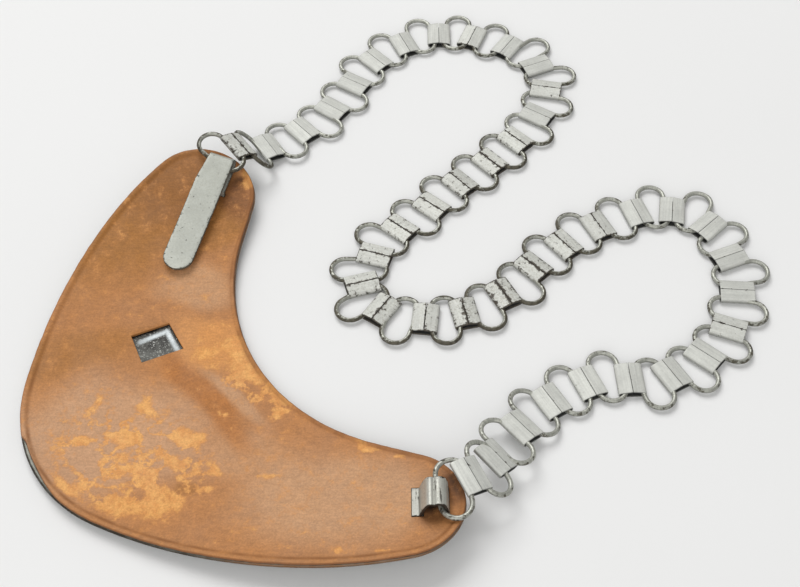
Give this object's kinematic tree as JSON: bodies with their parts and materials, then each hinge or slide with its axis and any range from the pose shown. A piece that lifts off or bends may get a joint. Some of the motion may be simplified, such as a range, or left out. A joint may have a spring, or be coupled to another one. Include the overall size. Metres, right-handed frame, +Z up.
{
  "type": "steel gorget",
  "caption": "Crescent steel throat plate with hemmed edge and leather backing, worn on a neck chain of wire rings and folded clips from a hook to a staple.",
  "frame": {"origin": "middle of the object's outline as it lies on a flat surface, at the surface", "axes": "+Z up; +Y away from the viewer of the picture, so the plate's lobe points to -X and -Y and the chain lies towards +X"},
  "size_m": [0.2616, 0.2621, 0.0178],
  "materials": {
    "plate_steel": "dull grey steel, darkened at the hem",
    "backing_leather": "tan leather, worn and blotched",
    "hook_paint": "pale grey-green paint, chipped at the edge",
    "staple_paint": "pale grey paint with dark cracks",
    "chain_paint": "silver-grey paint worn to dark steel"
  },
  "bodies": {
    "root": {"gorget_plate": "plate_steel", "leather_backing": "backing_leather", "hook_tongue": "hook_paint", "ring_loop": "staple_paint", "chain": "chain_paint"}
  },
  "joints": []
}
